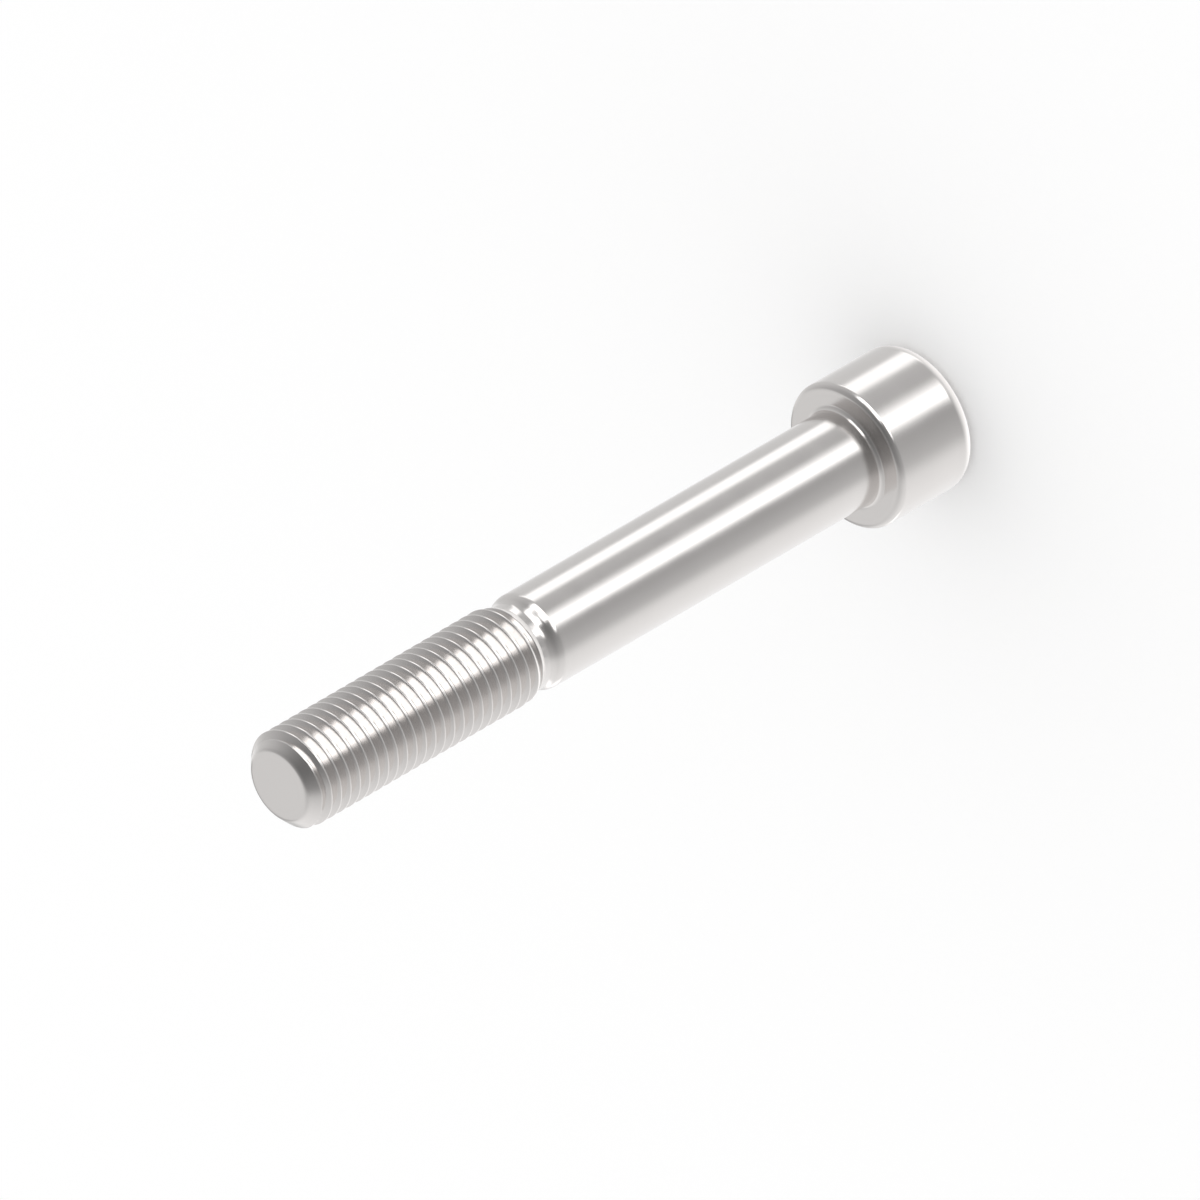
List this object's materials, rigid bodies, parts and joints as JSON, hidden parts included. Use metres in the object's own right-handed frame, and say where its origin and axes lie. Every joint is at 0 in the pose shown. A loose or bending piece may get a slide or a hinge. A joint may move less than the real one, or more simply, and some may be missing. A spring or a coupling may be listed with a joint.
{
  "type": "socket head cap screw",
  "caption": "Socket head cap screw: cylindrical head with a hex socket, long plain shank, relieved neck behind the thread and a chamfered threaded end.",
  "frame": {"origin": "centre of the flat top face of the head, which the screw stands on", "axes": "+Z along the screw's axis, from the head towards the threaded tip; two flats of the hex socket face +Y and -Y"},
  "size_m": [0.024, 0.024, 0.136],
  "materials": {
    "steel": "turned, bright and smooth, with fine lay marks round the axis"
  },
  "bodies": {
    "root": {"cap_screw": "steel"}
  },
  "joints": []
}
